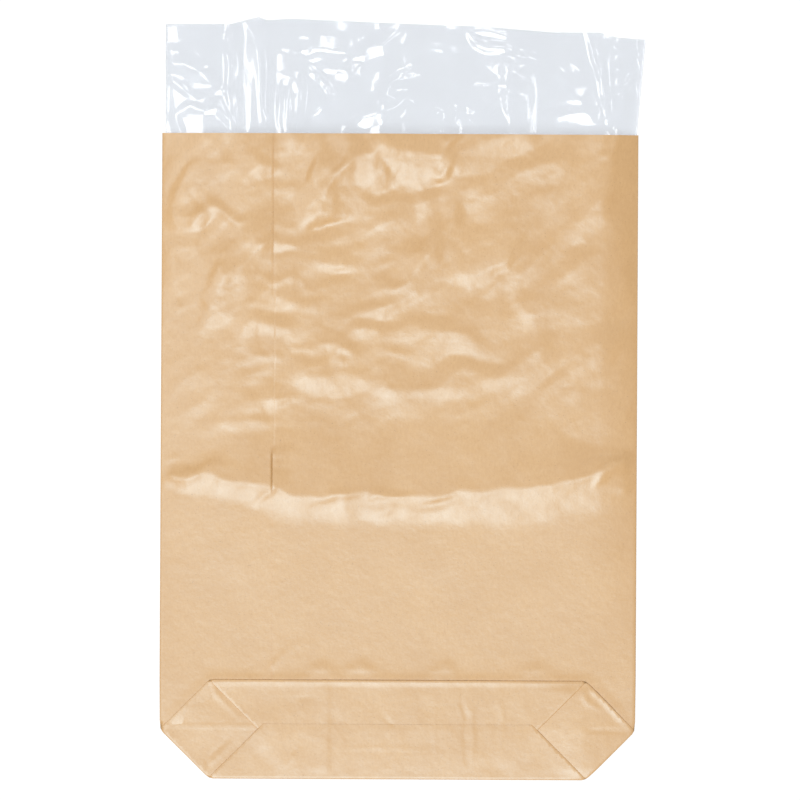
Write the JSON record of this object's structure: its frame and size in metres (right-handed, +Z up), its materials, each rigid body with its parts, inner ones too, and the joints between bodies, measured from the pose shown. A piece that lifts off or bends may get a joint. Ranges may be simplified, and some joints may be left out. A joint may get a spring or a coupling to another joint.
{
  "type": "open-mouth kraft paper sack with film liner",
  "caption": "Flat, empty kraft paper sack with a glued lap seam, a pasted hexagonal bottom folded onto its front, and a clear film liner standing out of its mouth.",
  "frame": {"origin": "On the floor, at the middle of the sack's width and of the whole length, liner included", "axes": "+X to the right as the pasted bottom is seen, +Y along the sack towards its mouth, +Z up from the floor through the front"},
  "size_m": [0.5097, 0.8029, 0.0155],
  "materials": {
    "kraft_paper": "smooth brown kraft, slightly glazed, softly creased",
    "clear_film": "clear, glossy, crinkled polyethylene film"
  },
  "bodies": {
    "root": {"kraft_sack": "kraft_paper", "film_liner": "clear_film"}
  },
  "joints": []
}
